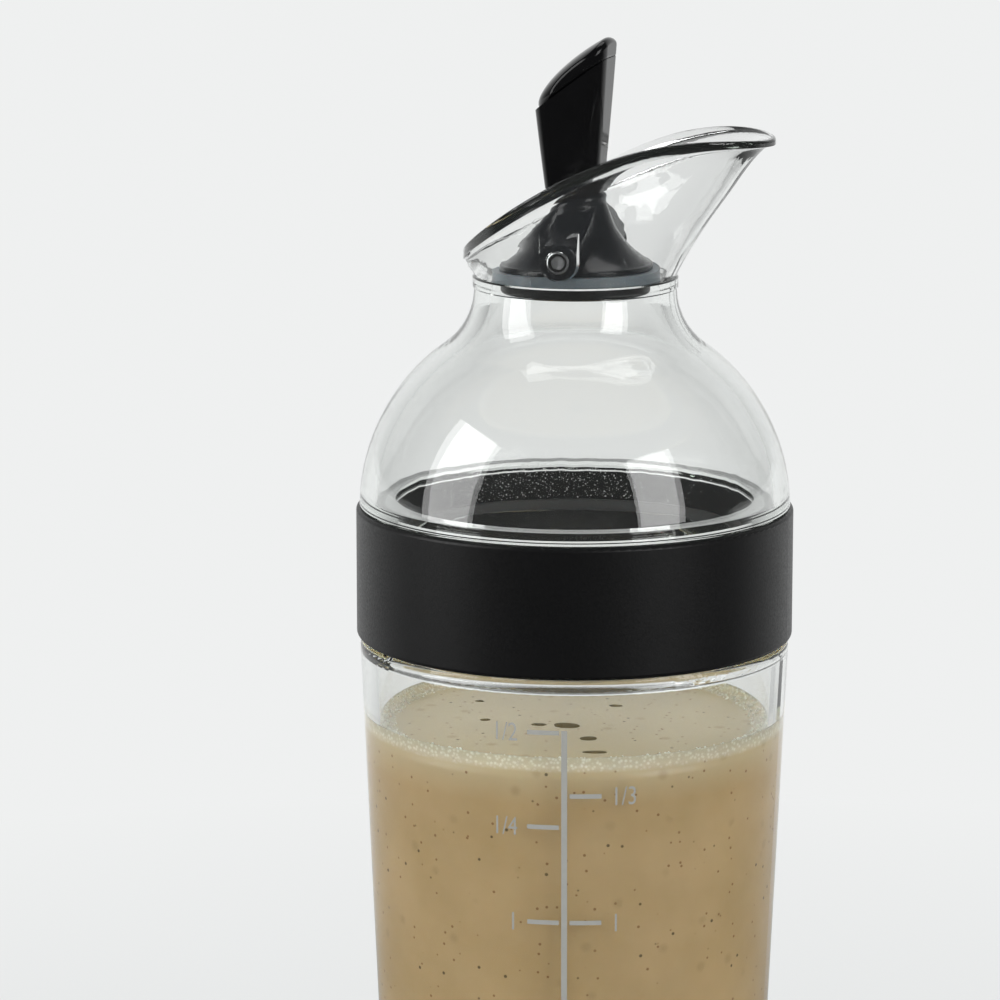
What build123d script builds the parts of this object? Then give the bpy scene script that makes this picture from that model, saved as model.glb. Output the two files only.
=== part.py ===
from build123d import *
from math import asin, atan2, cos, degrees, pi, radians, sin, sqrt
import os

# Salad dressing shaker: a clear bottle, a screw-on lid with a clear dome and pouring cup,
# and a stopper in the cup that a thumb lever tips open. Millimetres, +Z up, +X towards the
# spout, origin at the middle of the bottle's foot.

# Lid and bottle diameters
GRIP_R = 38.0  # outside of the soft band, the widest part
GRIP_T = 1.8  # thickness of the soft band
COLLAR_T = 1.8  # wall of the threaded collar
THREAD_DEPTH = 0.9
THREAD_GAP = 0.3  # radial room between the threads
NECK_T = 2.6  # wall of the bottle's neck

# Bottle
WALL_T = 2.7
FLOOR_T = 3.0
SHOULDER_INSET = 0.53  # the bottle's wall ends this far inside the band
WALL_SLOPE = 0.0439  # growth of the radius for each millimetre up
FOOT_ROUND = 4.0
PUNT_R = 23.0  # shallow recess under the foot
PUNT_DEPTH = 1.0
SHOULDER_Z = 122.3
SHOULDER_ROUND = 1.4
SHOULDER_T = 1.6
SHOULDER_ROOT = 0.8  # radius inside, where the wall meets the shoulder
NECK_H = 16.1

# Screw thread: one lead, the same on the bottle and in the collar
LEAD = 6.0
THREAD_TURNS = 1.15
THREAD_START = 4.2  # above the shoulder
THREAD_AZIMUTH = 25.0  # where the ridges begin, clear of the neck's seam
THREAD_STEP = 2.1  # the collar's ridge runs this far under the bottle's
RIDGE_BASE = 2.2
RIDGE_CREST = 1.0
RIDGE_SUNK = 0.4

# Grip band and collar
SHOULDER_GAP = 0.7
GRIP_H = 22.65
GRIP_ROUND = 0.7
GRIP_LIP = 0.6  # the band turns in under the collar by this height
SEAL_GAP = 0.05  # between the round gasket and what it presses on
GASKET_T = 1.95
GASKET_INSET = 0.2
MOUTH_STEP = 0.6  # the collar's lip stands this far outside the bottle's mouth

# Dome
DOME_WALL = 2.9
DOME_ARC_R = 35.0
DOME_INSET = 0.55  # the dome's foot stands this far inside the band
DOME_FOOT_T = 1.8  # flange round the dome's foot, over the collar
DOME_FOOT_GAP = 0.1  # the flange hangs this far over the collar
DOME_FOOT_CHAMFER = 0.4
TONGUE_T = 1.2  # ring under the flange that is welded in the collar's groove
TONGUE_DEPTH = 2.0
TONGUE_GAP = 0.1
NECK_R = 17.5  # outer radius at the narrowest
NECK_RISE = 38.21  # from the band's top to the foot of the straight neck
FLARE_R = 12.37
BEAD_H = 2.1  # raised ring round the neck
BEAD_PROUD = 0.25

# Pouring cup: wall profile at each azimuth round the axis
CUP_ROOT_T = 1.9
CUP_ROOT_R = 17.2
CUP_SUNK = 0.3
CUP_BULGE_T = 0.5  # the wall is this much thicker at half height
CUP_BOW_SIDE = 0.5  # power of the wall's outward curve: under 1 it leans out low down
CUP_BOW_TIP = 1.15
CUP_WALL_STEPS = 4  # profile points from the root to the lip
BACK_RIM_R = 19.2
SIDE_RIM_R = 20.5
TIP_R = 34.8
TIP_SHARPNESS = 5  # power of the cosine that draws the rim out to the spout
BACK_RIM_RISE = 4.04  # lowest point of the rim above the neck's ring
RIM_RISE = 21.0
RIM_PEAK = 0.87  # share of the rim's length at which it is highest
RIM_ARCH = 0.95  # power of the share along the rim: under 1 it climbs early
LIP_H_SIDE = 2.5  # height of the lip's upright edge
LIP_H_TIP = 1.1
LIP_H_BACK = 1.9
LIP_CURL_H = 1.4  # the wall curls out over this height, under the edge
LIP_CURL_BEND = 0.25  # share of that height still to go below at half the reach
LIP_OUT_SIDE = 1.6
LIP_OUT_TIP = 2.6
LIP_OUT_BACK = 0.9
LIP_SHARPNESS = 3  # power of the cosine that widens the lip at the spout
LIP_EDGE_ROUND = 0.45
LIP_EDGE_T = 0.9  # width of the lip's rounded top, which slopes down inside
SECTION_STEP = 15  # degrees between the cup's profiles

# Stopper and its pivot
PIVOT_X = 1.5
PIVOT_RISE = 4.64  # above the seal's lower edge
SEAL_FIT = 0.1  # between the stopper's seal and the bore
SEAL_T = 1.8
SEAL_HALF_WIDTH = 14.0  # flats at the pivot ends, where the soft edge folds
PLATE_R = 12.9
PLATE_T = 2.4
PLATE_ROUND = 0.5
SEAT_SINK = 0.2  # the seal's lower edge sits this far down in the bore
FLANGE_R = 13.3
FLANGE_T = 1.0
FLANGE_ROUND = 0.5
STEM_R = 5.1
STEM_RISE = 10.6  # top of the stem above the pivot
STEM_ROUND = 1.6
BELL_H = 9.8  # the bell leaves the stem this far above the flange
BELL_BOW_R = 8.0  # and passes through this radius
BELL_BOW_H = 4.1  # at this height above the flange
EAR_R = 3.0
EAR_Y = 16.7
EAR_GAP = 0.2
CHANNEL_RISE = 5.0  # the channel runs out in the cup's wall this far above the pivot
CHANNEL_RAMP = 0.8  # and leans in by this much on the way
WEB_Y = 14.2
WEB_H = 3.0  # height of the web at the ear, above the pivot
WEB_RISE = 8.8  # and on the axis, inside the stem
PIN_R = 2.0
PIN_Y = 17.3
PIN_FIT = 0.08
PIN_END_GAP = 0.1
PIN_ROUND = 0.4
PIN_RING_R = 1.35  # ring groove turned in each end
PIN_RING_T = 0.3
PIN_RING_DEPTH = 0.25

# Lever
TENON_DEPTH = 4.5
TENON_STEP = 1.3  # the lever's foot is this much smaller all round inside the stem
LEVER_H = 31.0  # full height of the tapered column before its slanted cut
LEVER_CUT_H = 18.0  # height of the slanted cut over the stem, on the centre line
LEVER_SLANT = 36.0  # degrees
LEVER_FOOT_BACK = 4.85
LEVER_FOOT_FRONT = 4.45
LEVER_FOOT_HALF = 4.3
LEVER_FOOT_CORNER = 2.4
LEVER_TOP_BACK = 8.2
LEVER_TOP_FRONT = 6.7
LEVER_TOP_HALF = 6.6
LEVER_TOP_CORNER = 3.6
LEVER_BOW = 0.15  # the column bellies out by this at half height
CAP_H = 3.6  # crown of the thumb pad over the slanted cut
CAP_ALONG = 11.8
CAP_ACROSS = 7.4
CAP_SHIFT = 4.1  # the crown is this far up the slant
CAP_EDGE_ROUND = 0.9

# Sizes and heights that follow
collar_r = GRIP_R - GRIP_T
thread_r = collar_r - COLLAR_T
ridge_r = thread_r - THREAD_GAP
neck_r = ridge_r - THREAD_DEPTH
neck_in_r = neck_r - NECK_T
neck_top = SHOULDER_Z + NECK_H
shoulder_r = GRIP_R - SHOULDER_INSET
foot_r = shoulder_r - WALL_SLOPE * SHOULDER_Z
shoulder_under_z = SHOULDER_Z - SHOULDER_T
shoulder_in_r = foot_r + WALL_SLOPE * shoulder_under_z - WALL_T
floor_r = foot_r + WALL_SLOPE * FLOOR_T - WALL_T
grip_z = SHOULDER_Z + SHOULDER_GAP
grip_top = grip_z + GRIP_H
gasket_z = neck_top + SEAL_GAP
lip_z = gasket_z + GASKET_T + SEAL_GAP
lip_r = neck_in_r + MOUTH_STEP
tongue_r = thread_r
tongue_in_r = tongue_r - TONGUE_T
tongue_z = grip_top - TONGUE_DEPTH
dome_r = GRIP_R - DOME_INSET
dome_x = dome_r - DOME_ARC_R
flare_x = NECK_R + FLARE_R
bore_r = NECK_R - DOME_WALL
neck_z = grip_top + NECK_RISE
dome_z = neck_z - sqrt((DOME_ARC_R + FLARE_R) ** 2 - (flare_x - dome_x) ** 2)
bead_top = neck_z + BEAD_H
cup_root = bead_top - CUP_SUNK
back_rim_z = bead_top + BACK_RIM_RISE
seal_z = bead_top - SEAT_SINK
seal_r = bore_r - SEAL_FIT
flange_z = seal_z + SEAL_T
flange_top = flange_z + FLANGE_T
pivot_z = seal_z + PIVOT_RISE
stem_top = pivot_z + STEM_RISE
channel_y = EAR_Y + EAR_GAP
EPS = 0.001


def turned(*lines):
    """Solid of revolution about Z of a closed outline drawn in the XZ plane."""
    edges = [edge for line in lines for edge in line.edges()]
    return revolve(make_face(Wire(edges)), Axis.Z)


def points_face(points):
    return make_face(Polyline(*points, close=True))


def turned_points(points):
    """Solid of revolution about Z of a straight-sided outline of (radius, height) pairs."""
    return revolve(points_face([(r, 0, z) for r, z in points]), Axis.Z)


def tube(outer, inner, low, high):
    return turned_points([(inner, low), (outer, low), (outer, high), (inner, high)])


def ridge(root_r, crest_r, sunk, start):
    """One helical thread ridge, its root sunk into the wall that carries it."""
    turn = Helix(pitch=LEAD, height=LEAD * THREAD_TURNS, radius=root_r)
    outline = make_face(
        Polyline(
            (root_r + sunk, 0, -RIDGE_BASE / 2),
            (root_r, 0, -RIDGE_BASE / 2),
            (crest_r, 0, -RIDGE_CREST / 2),
            (crest_r, 0, RIDGE_CREST / 2),
            (root_r, 0, RIDGE_BASE / 2),
            (root_r + sunk, 0, RIDGE_BASE / 2),
            close=True,
        )
    )
    return Pos(0, 0, start) * Rot(0, 0, THREAD_AZIMUTH) * sweep(outline, path=turn, is_frenet=True)


def rings(solid, radius, height):
    """Round edges about Z of one radius at one height."""
    return [
        e
        for e in solid.edges().filter_by(GeomType.CIRCLE)
        if abs(e.radius - radius) < EPS and abs(e.center(CenterOf.BOUNDING_BOX).Z - height) < EPS
    ]


def make_bottle():
    """Tapered clear bottle with a rounded foot, a flat shoulder and a threaded neck."""
    outline = points_face(
        [
            (0, 0, PUNT_DEPTH),
            (PUNT_R, 0, PUNT_DEPTH),
            (PUNT_R + PUNT_DEPTH, 0, 0),
            (foot_r, 0, 0),
            (shoulder_r, 0, SHOULDER_Z),
            (neck_r, 0, SHOULDER_Z),
            (neck_r, 0, neck_top),
            (neck_in_r, 0, neck_top),
            (neck_in_r, 0, shoulder_under_z),
            (shoulder_in_r, 0, shoulder_under_z),
            (floor_r, 0, FLOOR_T),
            (0, 0, FLOOR_T),
        ]
    )
    body = revolve(outline, Axis.Z)
    body = fillet(rings(body, foot_r, 0) + rings(body, floor_r, FLOOR_T), FOOT_ROUND)
    body = fillet(rings(body, shoulder_r, SHOULDER_Z), SHOULDER_ROUND)
    body = fillet(rings(body, shoulder_in_r, shoulder_under_z), SHOULDER_ROOT)
    thread = ridge(neck_r, ridge_r, -RIDGE_SUNK, SHOULDER_Z + THREAD_START)
    return body + thread


def make_collar():
    """Black threaded ring under the dome, with an inward lip over the gasket."""
    low = grip_z + GRIP_LIP
    outline = [
        (thread_r, low),
        (collar_r, low),
        (collar_r, grip_top),
        (tongue_r + TONGUE_GAP, grip_top),
        (tongue_r + TONGUE_GAP, tongue_z),
        (tongue_in_r - TONGUE_GAP, tongue_z),
        (tongue_in_r - TONGUE_GAP, grip_top),
        (lip_r, grip_top),
        (lip_r, lip_z),
        (thread_r, lip_z),
    ]
    start = SHOULDER_Z + THREAD_START - THREAD_STEP
    return turned_points(outline) + ridge(thread_r, thread_r - THREAD_DEPTH, RIDGE_SUNK, start)


def make_grip():
    """Soft band round the collar, turned in under its lower edge."""
    band = turned_points(
        [
            (thread_r, grip_z),
            (GRIP_R, grip_z),
            (GRIP_R, grip_top),
            (collar_r, grip_top),
            (collar_r, grip_z + GRIP_LIP),
            (thread_r, grip_z + GRIP_LIP),
        ]
    )
    rims = [e for e in band.edges().filter_by(GeomType.CIRCLE) if abs(e.radius - GRIP_R) < EPS]
    return fillet(rims, GRIP_ROUND)


def make_gasket():
    return tube(neck_r + GASKET_INSET, lip_r, gasket_z, gasket_z + GASKET_T)


def arc_point(x, z, radius, angle):
    return (x + radius * cos(radians(angle)), 0, z + radius * sin(radians(angle)))


def dome_arcs(offset, foot_z):
    """Edges of the dome's side from its foot to the neck, this far inside the outer face."""
    big = DOME_ARC_R - offset
    small = FLARE_R + offset
    foot_angle = degrees(asin((foot_z - dome_z) / big))
    tangent = degrees(atan2(neck_z - dome_z, flare_x - dome_x))
    foot = arc_point(dome_x, dome_z, big, foot_angle)
    bulge = arc_point(dome_x, dome_z, big, (foot_angle + tangent) / 2)
    meet = arc_point(dome_x, dome_z, big, tangent)
    hollow = arc_point(flare_x, neck_z, small, 180 + tangent / 2)
    top = (flare_x - small, 0, neck_z)
    return ThreePointArc(foot, bulge, meet), ThreePointArc(meet, hollow, top)


def make_dome_shell():
    """Clear dome with its foot flange and tongue, and the neck's raised ring."""
    foot_z = grip_top + DOME_FOOT_GAP
    side, flare = dome_arcs(0, foot_z + DOME_FOOT_CHAMFER)
    in_side, in_flare = dome_arcs(DOME_WALL, foot_z + DOME_FOOT_T)
    bead_r = NECK_R + BEAD_PROUD
    foot = Polyline(
        in_side @ 0,
        (lip_r, 0, foot_z + DOME_FOOT_T),
        (lip_r, 0, foot_z),
        (tongue_in_r, 0, foot_z),
        (tongue_in_r, 0, tongue_z),
        (tongue_r, 0, tongue_z),
        (tongue_r, 0, foot_z),
        (dome_r - DOME_FOOT_CHAMFER, 0, foot_z),
        side @ 0,
    )
    crown = Polyline(
        flare @ 1,
        (bead_r, 0, neck_z + BEAD_PROUD),
        (bead_r, 0, bead_top - BEAD_PROUD),
        (NECK_R, 0, bead_top),
        (bore_r, 0, bead_top),
        in_flare @ 1,
    )
    return turned(foot, side, flare, crown, in_side, in_flare)


def rim_radius(azimuth):
    """Radius of the cup's rim, seen from above, at an azimuth from the spout."""
    c = cos(azimuth)
    if c > 0:
        return SIDE_RIM_R + (TIP_R - SIDE_RIM_R) * c**TIP_SHARPNESS
    return SIDE_RIM_R + (BACK_RIM_R - SIDE_RIM_R) * c * c


def rim_height(azimuth):
    """Height of the rim: low at the back, arching up to the spout."""
    along = (rim_radius(azimuth) * cos(azimuth) + BACK_RIM_R) / (TIP_R + BACK_RIM_R)
    return back_rim_z + RIM_RISE * sin(pi / 2 * (max(along, 0) / RIM_PEAK) ** RIM_ARCH)


def along_rim(azimuth, back, side, tip):
    """A size of the lip at an azimuth, from its values at the back, the sides and the spout."""
    c = cos(azimuth)
    if c > 0:
        return side + (tip - side) * c**LIP_SHARPNESS
    return side + (back - side) * c * c


def cup_section(angle):
    """Closed outline of the cup's wall in the half plane at an azimuth in degrees."""
    azimuth = radians(angle)
    top = rim_height(azimuth)
    edge_r = rim_radius(azimuth)
    reach = along_rim(azimuth, LIP_OUT_BACK, LIP_OUT_SIDE, LIP_OUT_TIP)
    edge_low = top - along_rim(azimuth, LIP_H_BACK, LIP_H_SIDE, LIP_H_TIP)
    wall_top = edge_low - LIP_CURL_H
    bow = CUP_BOW_SIDE + (CUP_BOW_TIP - CUP_BOW_SIDE) * cos(azimuth) ** 2

    def at(radius, z):
        return (radius * cos(azimuth), radius * sin(azimuth), z)

    outer = []
    inner = []
    for step in range(CUP_WALL_STEPS + 1):
        share = step / CUP_WALL_STEPS
        r = CUP_ROOT_R + (edge_r - reach - CUP_ROOT_R) * share**bow
        z = cup_root + (wall_top - cup_root) * share
        thick = CUP_ROOT_T + CUP_BULGE_T * sin(pi / 2 * share)
        outer.append(at(r, z))
        inner.append(at(r - thick, z))
    outer.append(at(edge_r - reach / 2, edge_low - LIP_CURL_H * LIP_CURL_BEND))
    outer.append(at(edge_r, edge_low))
    corner = at(edge_r, top - LIP_EDGE_ROUND)
    rounded = at(edge_r - LIP_EDGE_ROUND, top)
    fall = LIP_EDGE_ROUND * (1 - cos(pi / 4))
    middle = at(edge_r - fall, top - fall)
    inner.append(at(edge_r - LIP_EDGE_T, top))
    return Wire(
        [
            Line(inner[0], outer[0]),
            Spline(*outer),
            Line(outer[-1], corner),
            ThreePointArc(corner, middle, rounded),
            Line(rounded, inner[-1]),
            Spline(*reversed(inner)),
        ]
    )


def make_cup():
    """Clear pouring cup with a slanted rim that runs out to the spout, both halves alike."""
    turns = range(-SECTION_STEP, 180 + 2 * SECTION_STEP, SECTION_STEP)
    both_ways = Solid.make_loft([cup_section(angle) for angle in turns])
    room = 2 * (TIP_R + BACK_RIM_R)
    half_space = Pos(0, room / 2, cup_root) * Box(room, room, room)
    half = both_ways & half_space
    return half + mirror(half, about=Plane.XZ)


def channel(side):
    """U-shaped channel inside the cup for the stopper's ear, with a ramp above and a pin socket."""
    width = EAR_R + EAR_GAP
    top = pivot_z + CHANNEL_RISE
    ramp = points_face(
        [
            (PIVOT_X, side * bore_r, pivot_z),
            (PIVOT_X, side * channel_y, pivot_z),
            (PIVOT_X, side * channel_y, pivot_z + width / 2),
            (PIVOT_X, side * (channel_y - CHANNEL_RAMP), top),
            (PIVOT_X, side * bore_r, top),
        ]
    )
    slot = extrude(ramp, width, dir=(1, 0, 0), both=True)
    middle_y = side * (bore_r + channel_y) / 2
    round_end = Pos(PIVOT_X, middle_y, pivot_z) * Rot(90, 0, 0) * Cylinder(width, channel_y - bore_r)
    socket_end = PIN_Y + PIN_END_GAP
    socket = Rot(90, 0, 0) * Cylinder(PIN_R + PIN_FIT, 2 * (socket_end - bore_r))
    return slot + round_end + Pos(PIVOT_X, side * bore_r, pivot_z) * socket


def make_lid_dome():
    clear = make_dome_shell() + make_cup()
    for side in (-1, 1):
        clear -= channel(side)
    return clear


def make_seal():
    """Silicone disc that closes the bore, flattened at the pivot's ends."""
    outline = Circle(seal_r) & Rectangle(2 * bore_r, 2 * SEAL_HALF_WIDTH)
    return extrude(Pos(0, 0, seal_z) * outline, SEAL_T)


def make_plate():
    """Disc under the seal, its lower edge rounded."""
    disc = extrude(Pos(0, 0, seal_z - PLATE_T) * Circle(PLATE_R), PLATE_T)
    return fillet(disc.edges().group_by(Axis.Z)[0], PLATE_ROUND)


def pin_rod(radius, half_length):
    return Pos(PIVOT_X, 0, pivot_z) * Rot(90, 0, 0) * Cylinder(radius, 2 * half_length)


def make_pin():
    """Pin with rounded ends, a ring groove turned in each."""
    pin = pin_rod(PIN_R, PIN_Y)
    pin = fillet(pin.edges().filter_by(GeomType.CIRCLE), PIN_ROUND)
    core_y = PIN_Y - PIN_RING_DEPTH
    ring = pin_rod(PIN_RING_R, PIN_Y) - pin_rod(PIN_RING_R - PIN_RING_T, PIN_Y)
    return pin - (ring - pin_rod(PIN_RING_R, core_y))


def lever_outline(z, back, front, half, corner):
    flat = RectangleRounded(back + front, 2 * half, corner)
    return Pos((front - back) / 2, 0, z) * flat


def lever_column():
    """The lever's shaft as a smooth stack of rounded outlines, wider towards the thumb."""
    foot = (LEVER_FOOT_BACK, LEVER_FOOT_FRONT, LEVER_FOOT_HALF, LEVER_FOOT_CORNER)
    top = (LEVER_TOP_BACK, LEVER_TOP_FRONT, LEVER_TOP_HALF, LEVER_TOP_CORNER)
    middle = [(low + high) / 2 + LEVER_BOW for low, high in zip(foot, top)]
    shaft = [
        lever_outline(stem_top, *foot),
        lever_outline(stem_top + LEVER_H / 2, *middle),
        lever_outline(stem_top + LEVER_H, *top),
    ]
    tenon_size = [size - TENON_STEP for size in foot]
    tenon = extrude(lever_outline(stem_top - TENON_DEPTH, *tenon_size), TENON_DEPTH + EPS)
    return loft(shaft) + tenon


def slant_plane():
    """Plane of the lever's slanted cut, which climbs towards the spout."""
    rise = sin(radians(LEVER_SLANT))
    run = cos(radians(LEVER_SLANT))
    return Plane(origin=(0, 0, stem_top + LEVER_CUT_H), x_dir=(run, 0, rise), z_dir=(-rise, 0, run))


def make_lever():
    return split(lever_column(), bisect_by=slant_plane(), keep=Keep.BOTTOM)


def make_cap():
    """Domed thumb pad on the lever's slanted top."""
    above = split(lever_column(), bisect_by=slant_plane(), keep=Keep.TOP)
    crown = slant_plane() * Pos(CAP_SHIFT, 0, 0) * scale(Sphere(1), by=(CAP_ALONG, CAP_ACROSS, CAP_H))
    cap = above & crown
    return fillet(cap.faces().sort_by(Axis.Z)[-1].edges(), CAP_EDGE_ROUND)


def make_bell():
    """Round body of the stopper: stem, bell and thin flange."""
    stem_foot = (STEM_R, 0, flange_top + BELL_H)
    bow = (BELL_BOW_R, 0, flange_top + BELL_BOW_H)
    stem_shoulder = (STEM_R, 0, stem_top - STEM_ROUND)
    shoulder_in = (STEM_R - STEM_ROUND, 0, stem_top)
    edge_in = (FLANGE_R - FLANGE_ROUND, 0, flange_top)
    edge = (FLANGE_R, 0, flange_top - FLANGE_ROUND)
    return turned(
        Line(stem_shoulder, stem_foot),
        ThreePointArc(stem_foot, bow, edge_in),
        ThreePointArc(edge_in, arc_point(edge_in[0], edge[2], FLANGE_ROUND, 45), edge),
        Polyline(edge, (FLANGE_R, 0, flange_z), (0, 0, flange_z), (0, 0, stem_top), shoulder_in),
        ThreePointArc(
            shoulder_in, arc_point(shoulder_in[0], stem_shoulder[2], STEM_ROUND, 45), stem_shoulder
        ),
    )


def make_hub(lever):
    """Bell-shaped stopper body with two ears on the pivot and a socket for the lever."""
    ears = pin_rod(EAR_R, EAR_Y)
    web_face = points_face(
        [
            (PIVOT_X, -WEB_Y, pivot_z),
            (PIVOT_X, -WEB_Y, pivot_z + WEB_H),
            (PIVOT_X, 0, pivot_z + WEB_RISE),
            (PIVOT_X, WEB_Y, pivot_z + WEB_H),
            (PIVOT_X, WEB_Y, pivot_z),
        ]
    )
    web = extrude(web_face, EAR_R, dir=(1, 0, 0), both=True)
    seal_room = Pos(0, 0, seal_z + SEAL_T / 2) * Box(2 * bore_r, 2 * (SEAL_HALF_WIDTH + SEAL_FIT), SEAL_T)
    hub = make_bell() + (ears + web - seal_room)
    return hub - pin_rod(PIN_R, PIN_Y + EAR_R) - lever


def build_parts():
    lever = make_lever()
    return {
        "bottle": make_bottle(),
        "lid_collar": make_collar(),
        "grip_band": make_grip(),
        "lid_gasket": make_gasket(),
        "lid_dome": make_lid_dome(),
        "stopper_plate": make_plate(),
        "stopper_seal": make_seal(),
        "stopper_hub": make_hub(lever),
        "pivot_pin": make_pin(),
        "lever": lever,
        "lever_cap": make_cap(),
    }


def main():
    os.makedirs("parts", exist_ok=True)
    for name, shape in build_parts().items():
        export_step(shape, f"parts/{name}.step")


main()
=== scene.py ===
from math import atan2, cos, pi, radians, sin
import random

import bmesh
import bpy
from mathutils import Matrix, Vector


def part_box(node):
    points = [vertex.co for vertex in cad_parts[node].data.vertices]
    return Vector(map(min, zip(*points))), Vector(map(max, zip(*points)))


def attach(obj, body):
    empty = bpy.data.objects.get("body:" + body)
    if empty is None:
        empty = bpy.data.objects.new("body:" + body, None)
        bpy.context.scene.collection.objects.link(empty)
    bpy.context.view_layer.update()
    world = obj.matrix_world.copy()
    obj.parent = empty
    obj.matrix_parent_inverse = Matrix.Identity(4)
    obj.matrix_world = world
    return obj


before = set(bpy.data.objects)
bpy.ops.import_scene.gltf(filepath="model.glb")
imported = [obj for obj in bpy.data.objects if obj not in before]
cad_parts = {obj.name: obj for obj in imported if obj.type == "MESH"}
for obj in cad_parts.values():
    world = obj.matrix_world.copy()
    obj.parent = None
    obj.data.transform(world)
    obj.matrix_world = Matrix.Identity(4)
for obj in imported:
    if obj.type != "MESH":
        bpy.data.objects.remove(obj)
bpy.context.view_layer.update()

MM = 0.001

# Bottle's wall, as it tapers to the foot
FOOT_R = 32.10 * MM
WALL_SLOPE = 0.0439  # how much the outer radius grows over each length of height
WALL_T = 2.7 * MM
FLOOR_T = 3.0 * MM
INSIDE_FOOT_ROUND = 4.0 * MM

# Dressing
FILL_Z = 107.6 * MM
WETTING = 0.15 * MM  # the dressing reaches this far into the wall, so that it looks wet on it
MENISCUS_RISE = 1.6 * MM
MENISCUS_WIDTH = 2.6 * MM
PALE_DEPTH = 7.0 * MM  # the dressing is paler down to here under its surface
PALE_SHARE = 0.7
SPECKS = (  # cells to a metre, reach of a speck's core and of its edge, colour and strength
    (420, 0.09, 0.15, (0.060, 0.040, 0.022, 1), 0.80),
    (650, 0.12, 0.20, (0.200, 0.090, 0.035, 1), 0.75),
    (260, 0.12, 0.32, (0.330, 0.230, 0.110, 1), 0.40),
)
SPECK_CHOICE = (0.72, 0.74)  # each cell draws from 0 to 1 and holds a speck above this

# Foam along the wall
FOAM_DEPTH = 1.1 * MM
FOAM_WIDTH = 3.2 * MM
FOAM_CELLS = 1500  # to a metre
FROTH_SHARE = 0.85
BUBBLE_SEED = 11
BUBBLE_COUNT = 1000
BUBBLE_R = (0.10 * MM, 0.30 * MM)
BUBBLE_CROWDING = 1.5  # above 1, more of the bubbles sit close to the wall
BEAD_BATCH = 40  # drops or bubbles in one small mesh before it joins the rest
BEAD_CROWDING = 2  # above 1, more of the drops and bubbles are small ones

# Oil spots on the dressing
OIL_SEED = 3
OIL_RISE = 0.12 * MM
OIL_LOBES = 6
OIL_LOBE_REACH = (0.75, 1.1)
OIL_SPOTS = (  # right of the axis, towards the camera, half length, half width, in millimetres
    (-6.2, 4.9, 1.5, 1.1),
    (-1.3, 5.4, 2.7, 2.0),
    (2.6, 14.5, 1.6, 1.5),
    (3.6, 24.0, 2.4, 1.0),
    (-15.6, 1.6, 1.0, 0.8),
    (7.5, -9.0, 1.2, 0.8),
    (-17.0, -12.0, 0.9, 0.6),
)

# Fine drops on the collar's far wall, inside the lid
COLLAR_LIP_R = 31.2 * MM
MIST_Z = (140.7 * MM, 147.2 * MM)
MIST_SEED = 5
MIST_COUNT = 1000
MIST_MIDDLE = 6  # degrees anticlockwise of straight behind the axis
MIST_SPREAD = 24.0  # degrees
MIST_CROWDING = 1.4  # above 1, more of the drops sit near the top
MIST_R = (0.03 * MM, 0.11 * MM)

# Steel pin, and the groove round each end, where shade is painted
PIN_GROOVE_R = 1.35 * MM
PIN_GROOVE_W = 0.32 * MM

# Printed scale
SCALE_AZIMUTH = radians(-77.5)  # where the vertical line stands, from the spout
PRINT_LIFT = 0.03 * MM
PRINT_STEP = 0.6 * MM
PRINT_ROW = 4 * PRINT_STEP
SCALE_TOP_Z = 113.9 * MM
SCALE_FOOT_Z = 20.0 * MM
LINE_HALF_W = 0.5 * MM
TICK_HALF_H = 0.4 * MM
TICK_INNER = 0.9 * MM
TICK_OUTER = 6.3 * MM
LABEL_GAP = 1.6 * MM
LABEL_H = 3.3 * MM
LABEL_NARROWING = 0.78
DIGIT_SHARE = 0.72  # a digit's height as a share of the text's size
SCALE_MARKS = (  # number, height, and the sides of the line that have it, -1 left and 1 right
    ("1", 80.5 * MM, (-1, 1)),
    ("1/4", 97.35 * MM, (-1,)),
    ("1/3", 102.85 * MM, (1,)),
    ("1/2", SCALE_TOP_Z, (-1,)),
    ("3/4", 62.9 * MM, (-1,)),
    ("2/3", 56.8 * MM, (1,)),
    ("1/2", 44.2 * MM, (-1,)),
    ("1/3", 31.2 * MM, (1,)),
    ("1/4", 24.4 * MM, (-1,)),
)

# Colours of the finishes, in pairs where a finish varies between two
CLEAR_DEPTHS = (0.52, 0.66, 0.54, 1)  # of light that has crossed a lot of the clear plastic
CLEAR_SHADOW = (0.93, 0.95, 0.93, 1)  # of the lamps' light that comes through a wall of it
CLEAR_DENSITY = 18.0
LEVER_BLACK = (0.0024, 0.0024, 0.0026, 1)
COLLAR_BLACK = (0.0030, 0.0031, 0.0033, 1)
STOPPER_BLACK = (0.0035, 0.0041, 0.0052, 1)
BAND_BLACKS = ((0.0015, 0.0015, 0.0017, 1), (0.0034, 0.0034, 0.0038, 1))
SEAL_GREY = (0.082, 0.098, 0.112, 1)
GASKET_GREY = (0.030, 0.030, 0.031, 1)
STEEL_GREYS = ((0.70, 0.71, 0.72, 1), (0.84, 0.84, 0.85, 1))
# painted shade: dark grey laid on the steel in the pin's groove
GROOVE_PAINTED_SHADE = (0.05, 0.05, 0.05, 1)
INK_GREYS = ((0.270, 0.268, 0.250, 1), (0.315, 0.312, 0.292, 1))
CREAMS = ((0.445, 0.310, 0.148, 1), (0.515, 0.365, 0.189, 1))
PALE_CREAM = (0.580, 0.495, 0.325, 1)
FOAM_COLOUR = (0.90, 0.87, 0.76, 1)
FOAM_SHADE = (0.68, 0.61, 0.46, 1)
OIL_BROWN = (0.150, 0.110, 0.045, 1)
# colour of the drops: clear water, made pale white in part as a painted highlight for their glints
WATER_WITH_PAINTED_GLINTS = (0.95, 0.96, 0.96, 1)

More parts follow.
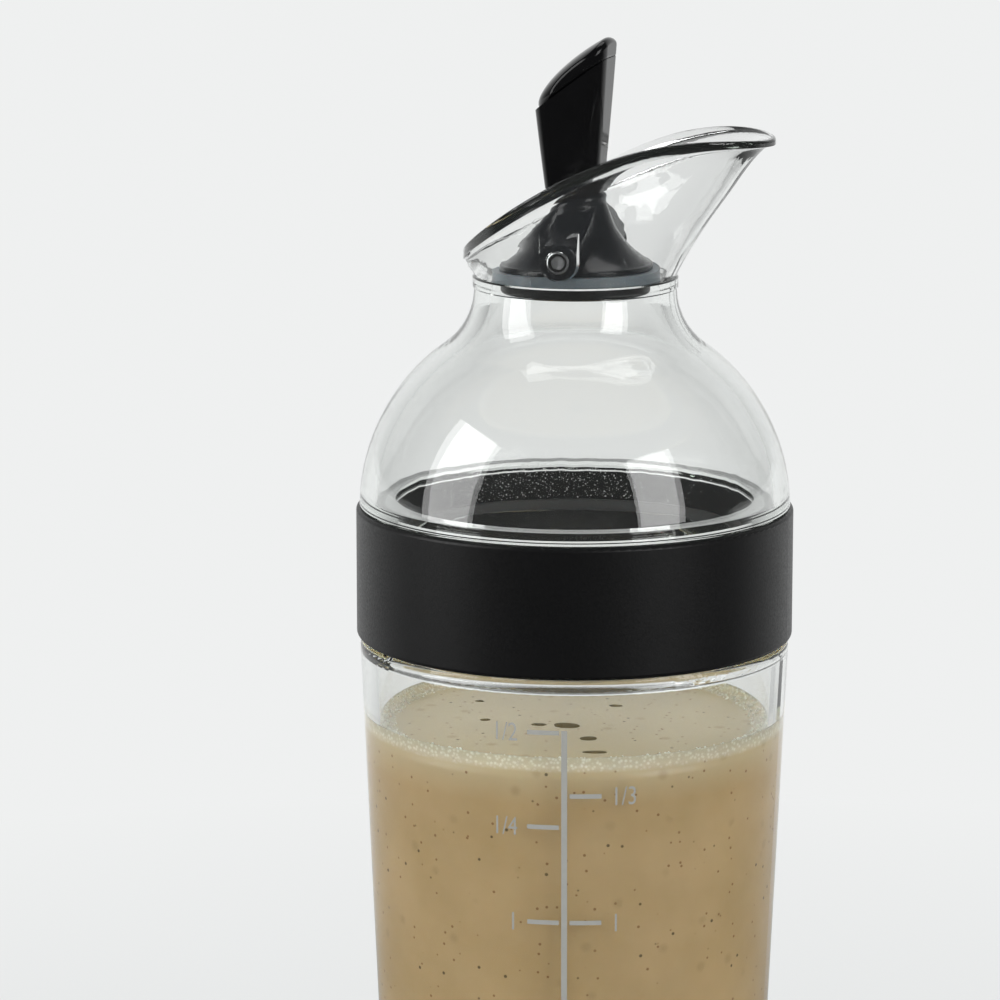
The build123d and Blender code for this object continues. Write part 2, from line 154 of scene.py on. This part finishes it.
# Camera, where the photograph was taken from
CAMERA_AZIMUTH = radians(15)
CAMERA_DISTANCE = 760 * MM
CAMERA_Z = 297.2 * MM
CAMERA_PITCH = radians(11.23)
CAMERA_TURN = radians(0.98)
CAMERA_REACH = 100  # metres
LENS = 160.3
SENSOR_W = 36.0
TOWARDS_CAMERA = Vector((sin(CAMERA_AZIMUTH), -cos(CAMERA_AZIMUTH), 0))
RIGHT_OF_VIEW = Vector((cos(CAMERA_AZIMUTH), sin(CAMERA_AZIMUTH), 0))

# Studio, in metres
BACKGROUND = (0.862, 0.872, 0.870, 1)
FLOOR_R = 6
FLOOR_SHADE = (0.54, 0.55, 0.55, 1)
FLOOR_NEAR = 0.08  # the floor shows its own shade up to here from the axis
FLOOR_FAR = 0.35  # and has melted into the backdrop here
FLOOR_MELTED = 0.3  # the backdrop's share in the floor close to the axis
ROOM_LIGHT = 0.95
ROOM_SHADE = (0.97, 0.98, 0.98, 1)
DARK_SIDE = 0.08  # level of the floor and room in front of the object, as mirrored in it
FLOOR_BRIGHTENS = (0.0, 0.4)  # behind the axis, the mirrored floor turns from dark to pale here
ROOM_BRIGHTENS = (0.35, 0.95)  # the mirrored room too, by how much a direction leads away
ROOM_DIMS = (0.4, 0.85)  # and it dims again here, by how much a direction leads up
ROOM_TOP = 0.3  # to this level
LAMPS = (  # name, azimuth in degrees, height, distance, width, length, and power in watts
    ("left_box", -57, 0.50, 1.02, 0.60, 0.92, 6.4),
    ("right_box", 62, 0.49, 1.05, 0.51, 0.74, 5.0),
    ("top_box", 190, 1.5, 0.5, 1.0, 0.8, 5),
)
LAMP_AIM = Vector((0, 0, 0.17))
LIGHT_BOUNCES = 24


def new_material(name):
    """A new material with its node tree and its Principled shader."""
    material = bpy.data.materials.new(name)
    material.use_nodes = True
    return material, material.node_tree, material.node_tree.nodes["Principled BSDF"]


def set_sockets(node, **values):
    """Sets a node's sockets by name, an underscore standing for a space."""
    for name, value in values.items():
        node.inputs[name.replace("_", " ")].default_value = value


def link_sockets(tree, node, **sources):
    """Links outputs to a node's sockets by name, an underscore standing for a space."""
    for name, source in sources.items():
        tree.links.new(source, node.inputs[name.replace("_", " ")])


def new_node(tree, kind, **values):
    node = tree.nodes.new(kind)
    set_sockets(node, **values)
    return node


def object_place(tree):
    """Place on the piece, in its own coordinates."""
    return tree.nodes.new("ShaderNodeTexCoord").outputs["Object"]


def object_noise(tree, scale, detail=4.0, roughness=0.5):
    """Noise from 0 to 1 over the piece, its scale in waves to a metre."""
    noise = new_node(tree, "ShaderNodeTexNoise", Scale=scale, Detail=detail, Roughness=roughness)
    link_sockets(tree, noise, Vector=object_place(tree))
    return noise.outputs["Fac"]


def object_cells(tree, place, scale):
    """Cells scattered over the piece, scale of them to a metre."""
    cells = new_node(tree, "ShaderNodeTexVoronoi", Scale=scale, Randomness=1.0)
    link_sockets(tree, cells, Vector=place)
    return cells.outputs


def spread(tree, source, low, high, start=0.0, end=1.0):
    """Maps a value between start and end onto low to high, and keeps it within them."""
    remap = new_node(
        tree, "ShaderNodeMapRange", From_Min=start, From_Max=end, To_Min=low, To_Max=high
    )
    link_sockets(tree, remap, Value=source)
    return remap.outputs["Result"]


def blend(tree, amount, first, second):
    """Colour between two others, each a fixed colour or another node's output."""
    mix = tree.nodes.new("ShaderNodeMix")
    mix.data_type = "RGBA"
    tree.links.new(amount, mix.inputs["Factor"])
    for name, colour in (("A", first), ("B", second)):
        if isinstance(colour, tuple):
            mix.inputs[name].default_value = colour
        else:
            tree.links.new(colour, mix.inputs[name])
    return mix.outputs["Result"]


def joined(tree, operation, first, second):
    """Two values made one by a math operation."""
    node = tree.nodes.new("ShaderNodeMath")
    node.operation = operation
    tree.links.new(first, node.inputs[0])
    tree.links.new(second, node.inputs[1])
    return node.outputs["Value"]


def vector_step(tree, operation, source, other=None):
    """Vector operation on a source and, where it takes one, a fixed vector."""
    node = tree.nodes.new("ShaderNodeVectorMath")
    node.operation = operation
    tree.links.new(source, node.inputs[0])
    if other is not None:
        node.inputs[1].default_value = other
    return node.outputs["Value" if operation in ("LENGTH", "DOT_PRODUCT") else "Vector"]


def height_of(tree, place):
    """Z of a place or direction."""
    split = tree.nodes.new("ShaderNodeSeparateXYZ")
    link_sockets(tree, split, Vector=place)
    return split.outputs["Z"]


def bump(tree, shader, height, strength, distance):
    node = new_node(tree, "ShaderNodeBump", Strength=strength, Distance=distance)
    link_sockets(tree, node, Height=height)
    link_sockets(tree, shader, Normal=node.outputs["Normal"])


def mixed_shader(tree, amount, first, second):
    mix = tree.nodes.new("ShaderNodeMixShader")
    tree.links.new(amount, mix.inputs["Fac"])
    tree.links.new(first, mix.inputs[1])
    tree.links.new(second, mix.inputs[2])
    return mix.outputs["Shader"]


def brighter(colour, times):
    return tuple(min(share * times, 1) for share in colour[:3]) + (1,)


def clear_plastic():
    """Clear moulded plastic: grey-green where it is thick, barely uneven, and open to the lamps."""
    material, tree, shader = new_material("clear_plastic")
    set_sockets(shader, Base_Color=(1, 1, 1, 1), IOR=1.53, Transmission_Weight=0.996)
    link_sockets(tree, shader, Roughness=spread(tree, object_noise(tree, 90, detail=2), 0.0, 0.03))
    bump(tree, shader, object_noise(tree, 35, detail=1), strength=0.05, distance=1 * MM)
    open_to_lamps = new_node(tree, "ShaderNodeBsdfTransparent", Color=CLEAR_SHADOW)
    shadow_ray = tree.nodes.new("ShaderNodeLightPath").outputs["Is Shadow Ray"]
    surface = mixed_shader(tree, shadow_ray, shader.outputs["BSDF"], open_to_lamps.outputs["BSDF"])
    depths = new_node(tree, "ShaderNodeVolumeAbsorption", Color=CLEAR_DEPTHS, Density=CLEAR_DENSITY)
    output = tree.nodes["Material Output"]
    link_sockets(tree, output, Surface=surface, Volume=depths.outputs["Volume"])
    return material


def black_plastic(name, colour, smoothest, roughest, mirror):
    """Moulded black plastic with a fine unevenness in its gloss."""
    material, tree, shader = new_material(name)
    set_sockets(shader, Specular_IOR_Level=mirror)
    noise = object_noise(tree, 180, detail=3)
    shade = blend(tree, noise, colour, brighter(colour, 1.6))
    gloss = spread(tree, noise, smoothest, roughest, start=0.3, end=0.7)
    link_sockets(tree, shader, Base_Color=shade, Roughness=gloss)
    bump(tree, shader, noise, strength=0.03, distance=0.2 * MM)
    return material


def soft_black():
    """Soft matte black of the grip band, with a fine grain and paler rubbed spots."""
    material, tree, shader = new_material("soft_black")
    set_sockets(shader, Specular_IOR_Level=0.36)
    grain = object_noise(tree, 2600, detail=3, roughness=0.6)
    rubbed = object_noise(tree, 60, detail=4, roughness=0.6)
    gloss = spread(tree, grain, 0.34, 0.50, start=0.3, end=0.7)
    link_sockets(tree, shader, Base_Color=blend(tree, rubbed, *BAND_BLACKS), Roughness=gloss)
    bump(tree, shader, grain, strength=0.25, distance=0.06 * MM)
    return material


def silicone(name, colour):
    """Silicone rubber, a little cloudy and uneven."""
    material, tree, shader = new_material(name)
    set_sockets(shader, Subsurface_Weight=0.2, Subsurface_Scale=1 * MM)
    noise = object_noise(tree, 300, detail=3)
    shade = blend(tree, noise, colour, brighter(colour, 1.25))
    link_sockets(tree, shader, Base_Color=shade, Roughness=spread(tree, noise, 0.32, 0.5))
    bump(tree, shader, noise, strength=0.1, distance=0.05 * MM)
    return material


def polished_steel():
    """Steel of the pin, with painted shade in the groove turned round each end."""
    material, tree, shader = new_material("polished_steel")
    set_sockets(shader, Metallic=1.0)
    noise = object_noise(tree, 1500, detail=3)
    low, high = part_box("pivot_pin")
    centre = [(a + b) / 2 for a, b in zip(low, high)]
    from_centre = vector_step(tree, "SUBTRACT", object_place(tree), centre)
    across = vector_step(tree, "MULTIPLY", from_centre, (1, 0, 1))
    from_axis = vector_step(tree, "LENGTH", across)
    groove = (PIN_GROOVE_R - PIN_GROOVE_W, PIN_GROOVE_R + PIN_GROOVE_W)
    offset = spread(tree, from_axis, -1, 1, *groove)
    away = joined(tree, "MULTIPLY", offset, offset)
    steel = blend(tree, noise, *STEEL_GREYS)
    # painted shade: the steel turns dark grey in the groove round each end
    shade = blend(tree, spread(tree, away, 1, 0, start=0.2, end=0.9), steel, GROOVE_PAINTED_SHADE)
    link_sockets(tree, shader, Base_Color=shade, Roughness=spread(tree, noise, 0.10, 0.22))
    return material


def print_ink():
    """Pale grey ink of the measuring scale."""
    material, tree, shader = new_material("print_ink")
    noise = object_noise(tree, 900, detail=3)
    shade = blend(tree, noise, *INK_GREYS)
    link_sockets(tree, shader, Base_Color=shade, Roughness=spread(tree, noise, 0.35, 0.6))
    return material


def plain_finish(name, colour, roughness, transmission=0.0, ior=1.45):
    """Simple glossy finish of the small drops and bubbles, its gloss a little uneven."""
    material, tree, shader = new_material(name)
    set_sockets(shader, Base_Color=colour, Transmission_Weight=transmission, IOR=ior)
    gloss = spread(tree, object_noise(tree, 700, detail=2), roughness, 2 * roughness)
    link_sockets(tree, shader, Roughness=gloss)
    return material


def with_specks(tree, place, colour):
    """Adds the pepper and herb specks to the dressing's colour."""
    for scale, core, edge, tone, strength in SPECKS:
        cells = object_cells(tree, place, scale)
        draw = tree.nodes.new("ShaderNodeSeparateColor")
        link_sockets(tree, draw, Color=cells["Color"])
        chosen = spread(tree, draw.outputs["Red"], 0, 1, *SPECK_CHOICE)
        spot = spread(tree, cells["Distance"], strength, 0, core, edge)
        colour = blend(tree, joined(tree, "MULTIPLY", chosen, spot), colour, tone)
    return colour


def with_froth(tree, place, colour):
    """Turns the dressing's colour to froth where its surface meets the wall."""
    inside = wall_radius(FILL_Z) - WALL_T
    across = vector_step(tree, "MULTIPLY", place, (1, 1, 0))
    from_axis = vector_step(tree, "LENGTH", across)
    near_wall = spread(tree, from_axis, 0, 1, inside - FOAM_WIDTH, inside - FOAM_WIDTH / 2)
    on_top = spread(tree, height_of(tree, place), 0, FROTH_SHARE, FILL_Z - FOAM_DEPTH, FILL_Z)
    cells = object_cells(tree, place, FOAM_CELLS)
    between = spread(tree, cells["Distance"], 0, 1, start=0.15, end=0.55)
    froth = blend(tree, between, FOAM_COLOUR, FOAM_SHADE)
    return blend(tree, joined(tree, "MULTIPLY", near_wall, on_top), colour, froth)


def dressing_cream():
    """Creamy dressing: warm beige, cloudy, paler near its surface, with specks and froth."""
    material, tree, shader = new_material("dressing_cream")
    set_sockets(shader, Roughness=0.25, IOR=1.40, Subsurface_Weight=0.35)
    set_sockets(shader, Subsurface_Scale=3 * MM, Subsurface_Radius=(1.0, 0.7, 0.4))
    cloud = object_noise(tree, 70, detail=4, roughness=0.55)
    colour = blend(tree, spread(tree, cloud, 0, 1, start=0.3, end=0.7), *CREAMS)
    place = object_place(tree)
    paler = spread(tree, height_of(tree, place), 0, PALE_SHARE, FILL_Z - PALE_DEPTH, FILL_Z)
    colour = blend(tree, paler, colour, PALE_CREAM)
    colour = with_froth(tree, place, with_specks(tree, place, colour))
    link_sockets(tree, shader, Base_Color=colour)
    bump(tree, shader, cloud, strength=0.1, distance=0.4 * MM)
    return material


def finish_nodes(materials):
    """Gives every piece of the CAD model its finish."""
    finishes = {
        "bottle": "clear",
        "lid_dome": "clear",
        "lid_collar": "satin_black",
        "grip_band": "soft_black",
        "lid_gasket": "gasket",
        "stopper_hub": "stopper_black",
        "stopper_plate": "satin_black",
        "stopper_seal": "seal",
        "pivot_pin": "steel",
        "lever": "gloss_black",
        "lever_cap": "gloss_black",
    }
    for node, finish in finishes.items():
        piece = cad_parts[node]
        piece.data.materials.clear()
        piece.data.materials.append(materials[finish])


def put_in_scene(name, data):
    """A new object for a mesh, text, lamp or camera."""
    thing = bpy.data.objects.new(name, data)
    bpy.context.scene.collection.objects.link(thing)
    return thing


def mesh_data(name, mesh):
    """Turns a bmesh into mesh data and frees it."""
    data = bpy.data.meshes.new(name)
    mesh.to_mesh(data)
    mesh.free()
    return data


def add_to(mesh, data):
    """Adds mesh data to a bmesh and removes it."""
    mesh.from_mesh(data)
    bpy.data.meshes.remove(data)


def new_piece(name, mesh, body, material):
    """Puts a finished bmesh in the scene as a piece that rides on a body."""
    data = mesh_data(name, mesh)
    piece = put_in_scene(name, data)
    data.materials.append(material)
    data.shade_smooth()
    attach(piece, body)
    return piece


def wall_radius(z):
    """Outer radius of the bottle's tapered wall."""
    return FOOT_R + WALL_SLOPE * z


def meniscus_z(share):
    """Height of the dressing's edge, its share running from 0 at the wall to 1 where it is flat."""
    return FILL_Z + MENISCUS_RISE * (1 - share) ** 3


def around_axis(radius, azimuth, z):
    return Vector((radius * cos(azimuth), radius * sin(azimuth), z))


def arc(centre_r, centre_z, radius, start, end, steps):
    """Points of an arc in the half plane, angles in degrees."""
    angles = [radians(start + (end - start) * n / steps) for n in range(steps + 1)]
    return [(centre_r + radius * cos(a), centre_z + radius * sin(a)) for a in angles]


def spin_profile(points, steps=160):
    """Solid of revolution of a profile that starts and ends on the bottle's axis."""
    mesh = bmesh.new()
    line = [mesh.verts.new((r, 0, z)) for r, z in points]
    for a, b in zip(line, line[1:]):
        mesh.edges.new((a, b))
    bmesh.ops.spin(
        mesh,
        geom=list(mesh.verts) + list(mesh.edges),
        cent=(0, 0, 0),
        axis=(0, 0, 1),
        angle=2 * pi,
        steps=steps,
        use_merge=True,
    )
    bmesh.ops.remove_doubles(mesh, verts=mesh.verts, dist=0.001 * MM)
    bmesh.ops.recalc_face_normals(mesh, faces=mesh.faces)
    return mesh


def make_dressing(material):
    """Dressing that fills the bottle, its edge drawn up the wall."""
    corner_steps = 6
    side_steps = 24
    edge_steps = 8
    flat_steps = 14
    floor = FLOOR_T - WETTING
    foot_r = wall_radius(FLOOR_T) - WALL_T + WETTING
    low = floor + INSIDE_FOOT_ROUND
    top = FILL_Z + MENISCUS_RISE
    corner = arc(foot_r - INSIDE_FOOT_ROUND, low, INSIDE_FOOT_ROUND, -90, 0, corner_steps)
    heights = [low + (top - low) * n / side_steps for n in range(1, side_steps + 1)]
    side = [(wall_radius(z) - WALL_T + WETTING, z) for z in heights]
    wall_r = side[-1][0] - WETTING
    shares = [n / edge_steps for n in range(1, edge_steps + 1)]
    edge = [(wall_r - MENISCUS_WIDTH * share, meniscus_z(share)) for share in shares]
    flat_r = edge[-1][0]
    flat = [(flat_r * (1 - n / flat_steps), FILL_Z) for n in range(1, flat_steps + 1)]
    points = [(0, floor)] + corner + side + edge + flat
    return new_piece("dressing", spin_profile(points), "bottle", material)


def make_beads(beads):
    """A mesh of small round beads, each given as its place and radius."""
    mesh = bmesh.new()
    for first in range(0, len(beads), BEAD_BATCH):
        batch = bmesh.new()
        for place, radius in beads[first : first + BEAD_BATCH]:
            matrix = Matrix.Translation(place)
            bmesh.ops.create_uvsphere(batch, u_segments=8, v_segments=5, radius=radius, matrix=matrix)
        add_to(mesh, mesh_data("batch", batch))
    return mesh


def draw_radius(dice, limits):
    """Random radius between two limits."""
    smallest, largest = limits
    return smallest + (largest - smallest) * dice.random() ** BEAD_CROWDING


def make_bubbles(material):
    """Foam along the wall: small bubbles on the dressing's raised edge."""
    dice = random.Random(BUBBLE_SEED)
    wall_r = wall_radius(FILL_Z) - WALL_T - WETTING
    beads = []
    for _ in range(BUBBLE_COUNT):
        size = draw_radius(dice, BUBBLE_R)
        share = dice.random() ** BUBBLE_CROWDING
        azimuth = 2 * pi * dice.random()
        radius = wall_r - size - MENISCUS_WIDTH * share
        beads.append((around_axis(radius, azimuth, meniscus_z(share)), size))
    return new_piece("foam_bubbles", make_beads(beads), "bottle", material)


def make_oil_spots(material):
    """Flat dark drops of oil and herbs that float on the dressing."""
    dice = random.Random(OIL_SEED)
    mesh = bmesh.new()
    for across, near, half_length, half_width in OIL_SPOTS:
        spot = bmesh.ops.create_uvsphere(mesh, u_segments=18, v_segments=6, radius=1)
        lobes = [dice.uniform(*OIL_LOBE_REACH) for _ in range(OIL_LOBES)]
        for vert in spot["verts"]:
            turn = OIL_LOBES * (atan2(vert.co.y, vert.co.x) / (2 * pi) + 0.5)
            this = int(turn) % OIL_LOBES
            following = (this + 1) % OIL_LOBES
            lobe = lobes[this] + (lobes[following] - lobes[this]) * (turn - int(turn))
            along = (across + half_length * lobe * vert.co.x) * MM
            towards = (near + half_width * lobe * vert.co.y) * MM
            rise = Vector((0, 0, FILL_Z + OIL_RISE * vert.co.z))
            vert.co = RIGHT_OF_VIEW * along + TOWARDS_CAMERA * towards + rise
    return new_piece("oil_spots", mesh, "bottle", material)


def make_mist(material):
    """Fine drops on the wall inside the lid, as left when the bottle was shaken."""
    dice = random.Random(MIST_SEED)
    low, high = MIST_Z
    beads = []
    for _ in range(MIST_COUNT):
        size = draw_radius(dice, MIST_R)
        azimuth = CAMERA_AZIMUTH + pi / 2 + radians(dice.gauss(MIST_MIDDLE, MIST_SPREAD))
        z = high - (high - low) * dice.random() ** MIST_CROWDING
        beads.append((around_axis(COLLAR_LIP_R - size / 2, azimuth, z), size))
    return new_piece("mist_drops", make_beads(beads), "lid", material)


def on_wall(across, z):
    """Point of the print on the bottle, across to the right of the scale's line."""
    radius = wall_radius(z)
    return around_axis(radius + PRINT_LIFT, SCALE_AZIMUTH + across / radius, z)


def print_bar(mesh, left, right, low, high):
    """Adds one printed bar, cut fine enough to follow the wall."""
    bar = bmesh.new()
    columns = max(round((right - left) / PRINT_STEP), 1)
    rows = max(round((high - low) / PRINT_ROW), 1)
    bmesh.ops.create_grid(bar, x_segments=columns, y_segments=rows, size=0.5)
    for vert in bar.verts:
        x = left + (right - left) * (vert.co.x + 0.5)
        y = low + (high - low) * (vert.co.y + 0.5)
        vert.co = (x, y, 0)
    add_to(mesh, mesh_data("bar", bar))


def print_label(mesh, text, side, z):
    """Adds a number beside the scale, set outwards from its tick."""
    curve = bpy.data.curves.new("label", "FONT")
    curve.body = text
    curve.size = LABEL_H / DIGIT_SHARE
    curve.align_x = "LEFT" if side > 0 else "RIGHT"
    label = put_in_scene("label", curve)
    bpy.context.view_layer.update()
    shaped = label.evaluated_get(bpy.context.evaluated_depsgraph_get())
    flat = bpy.data.meshes.new_from_object(shaped)
    flat.transform(Matrix.Diagonal((LABEL_NARROWING, 1, 1, 1)))
    start = side * (TICK_OUTER + LABEL_GAP)
    flat.transform(Matrix.Translation((start, z - LABEL_H / 2, 0)))
    add_to(mesh, flat)
    bpy.data.objects.remove(label)
    bpy.data.curves.remove(curve)


def make_scale(material):
    """Cup scale printed on the bottle: a line with ticks and plain numbers."""
    mesh = bmesh.new()
    print_bar(mesh, -LINE_HALF_W, LINE_HALF_W, SCALE_FOOT_Z, SCALE_TOP_Z + TICK_HALF_H)
    for text, z, sides in SCALE_MARKS:
        for side in sides:
            left, right = sorted((side * TICK_INNER, side * TICK_OUTER))
            print_bar(mesh, left, right, z - TICK_HALF_H, z + TICK_HALF_H)
            print_label(mesh, text, side, z)
    bmesh.ops.triangulate(mesh, faces=mesh.faces)
    for vert in mesh.verts:
        vert.co = on_wall(vert.co.x, vert.co.y)
    return new_piece("printed_scale", mesh, "bottle", material)


def lit_side(tree, source, start, end):
    """DARK_SIDE in front of the object, where the room is dark, and 1 behind it."""
    behind = vector_step(tree, "DOT_PRODUCT", source, -TOWARDS_CAMERA)
    return spread(tree, behind, DARK_SIDE, 1, start, end)


def seen(tree, path):
    """1 for rays straight from the camera or through clear plastic."""
    return joined(tree, "MAXIMUM", path["Is Camera Ray"], path["Is Transmission Ray"])


def plainly_seen(tree, path):
    """1 for rays that show the backdrop at its full colour: straight from the camera, through clear
    plastic with no mirroring on the way, or on the way to a matt surface that they light."""
    unmirrored = spread(tree, path["Glossy Depth"], 1, 0)
    clear = joined(tree, "MULTIPLY", path["Is Transmission Ray"], unmirrored)
    lighting = spread(tree, path["Diffuse Depth"], 0, 1)
    plain = joined(tree, "MAXIMUM", path["Is Camera Ray"], clear)
    return joined(tree, "MAXIMUM", plain, lighting)


def floor_finish():
    """Pale floor that keeps the shadow near the object and melts into the backdrop further out."""
    material, tree, shader = new_material("floor")
    set_sockets(shader, Base_Color=FLOOR_SHADE, Roughness=0.9, Specular_IOR_Level=0.0)
    place = object_place(tree)
    from_axis = vector_step(tree, "LENGTH", place)
    melted = spread(tree, from_axis, FLOOR_MELTED, 1, FLOOR_NEAR, FLOOR_FAR)
    path = tree.nodes.new("ShaderNodeLightPath").outputs
    melted = joined(tree, "MULTIPLY", melted, seen(tree, path))
    amount = joined(tree, "MAXIMUM", melted, path["Is Glossy Ray"])
    behind = lit_side(tree, place, *FLOOR_BRIGHTENS)
    level = joined(tree, "MAXIMUM", behind, plainly_seen(tree, path))
    glow = new_node(tree, "ShaderNodeEmission", Color=BACKGROUND)
    link_sockets(tree, glow, Strength=level)
    surface = mixed_shader(tree, amount, shader.outputs["BSDF"], glow.outputs["Emission"])
    link_sockets(tree, tree.nodes["Material Output"], Surface=surface)
    return material


def make_stage():
    """Pale round floor that keeps the object's shadow."""
    mesh = bmesh.new()
    bmesh.ops.create_circle(mesh, cap_ends=True, segments=96, radius=FLOOR_R)
    floor = put_in_scene("floor", mesh_data("floor", mesh))
    floor.data.materials.append(floor_finish())


def add_lamp(name, azimuth, height, distance, width, length, power):
    """Soft box that looks at the middle of the dome. Azimuth is measured as the camera's is."""
    light = bpy.data.lights.new(name, "AREA")
    light.shape = "RECTANGLE"
    light.size = width
    light.size_y = length
    light.energy = power
    lamp = put_in_scene(name, light)
    a = radians(azimuth)
    lamp.location = (distance * sin(a), -distance * cos(a), height)
    aim = LAMP_AIM - lamp.location
    lamp.rotation_euler = aim.to_track_quat("-Z", "Y").to_euler()


def make_room():
    """Even pale backdrop, dim light all round, and a dark side of the room behind the camera."""
    world = bpy.data.worlds.new("studio")
    bpy.context.scene.world = world
    world.use_nodes = True
    tree = world.node_tree
    room = tree.nodes["Background"]
    set_sockets(room, Color=ROOM_SHADE, Strength=ROOM_LIGHT)
    path = tree.nodes.new("ShaderNodeLightPath").outputs
    direction = tree.nodes.new("ShaderNodeTexCoord").outputs["Generated"]
    behind = lit_side(tree, direction, *ROOM_BRIGHTENS)
    low_down = spread(tree, height_of(tree, direction), 1, ROOM_TOP, *ROOM_DIMS)
    mirrored = joined(tree, "MULTIPLY", behind, low_down)
    level = joined(tree, "MAXIMUM", mirrored, plainly_seen(tree, path))
    backdrop = new_node(tree, "ShaderNodeBackground", Color=BACKGROUND)
    link_sockets(tree, backdrop, Strength=level)
    amount = joined(tree, "MAXIMUM", seen(tree, path), path["Is Glossy Ray"])
    shown = mixed_shader(tree, amount, room.outputs["Background"], backdrop.outputs["Background"])
    link_sockets(tree, tree.nodes["World Output"], Surface=shown)


def make_camera():
    """Camera at the photograph's height, distance and turn."""
    data = bpy.data.cameras.new("camera")
    data.lens = LENS
    data.sensor_width = SENSOR_W
    data.clip_end = CAMERA_REACH
    camera = put_in_scene("camera", data)
    a = CAMERA_AZIMUTH
    camera.location = (CAMERA_DISTANCE * sin(a), -CAMERA_DISTANCE * cos(a), CAMERA_Z)
    camera.rotation_euler = (pi / 2 - CAMERA_PITCH, 0, a + CAMERA_TURN)
    bpy.context.scene.camera = camera


def set_rendering():
    """Plain colours, and enough bounces for light to cross the clear walls."""
    scene = bpy.context.scene
    scene.view_settings.view_transform = "Standard"
    scene.cycles.caustics_reflective = False
    scene.cycles.max_bounces = LIGHT_BOUNCES
    scene.cycles.transmission_bounces = LIGHT_BOUNCES
    scene.cycles.transparent_max_bounces = LIGHT_BOUNCES


def main():
    set_rendering()
    materials = {
        "clear": clear_plastic(),
        "gloss_black": black_plastic("gloss_black", LEVER_BLACK, 0.07, 0.14, mirror=0.25),
        "satin_black": black_plastic("satin_black", COLLAR_BLACK, 0.34, 0.50, mirror=0.15),
        "stopper_black": black_plastic("stopper_black", STOPPER_BLACK, 0.12, 0.22, mirror=0.3),
        "soft_black": soft_black(),
        "seal": silicone("seal_silicone", SEAL_GREY),
        "gasket": silicone("gasket_silicone", GASKET_GREY),
        "steel": polished_steel(),
    }
    finish_nodes(materials)
    make_dressing(dressing_cream())
    make_bubbles(plain_finish("foam", FOAM_COLOUR, roughness=0.15))
    make_oil_spots(plain_finish("herb_oil", OIL_BROWN, roughness=0.35, ior=1.12))
    # painted highlight: the clear drops get a pale white base that stands in for their glints
    make_mist(plain_finish("water_drops_painted_glints", WATER_WITH_PAINTED_GLINTS, roughness=0.03, transmission=0.35, ior=1.33))
    make_scale(print_ink())
    make_stage()
    for lamp in LAMPS:
        add_lamp(*lamp)
    make_room()
    make_camera()


main()
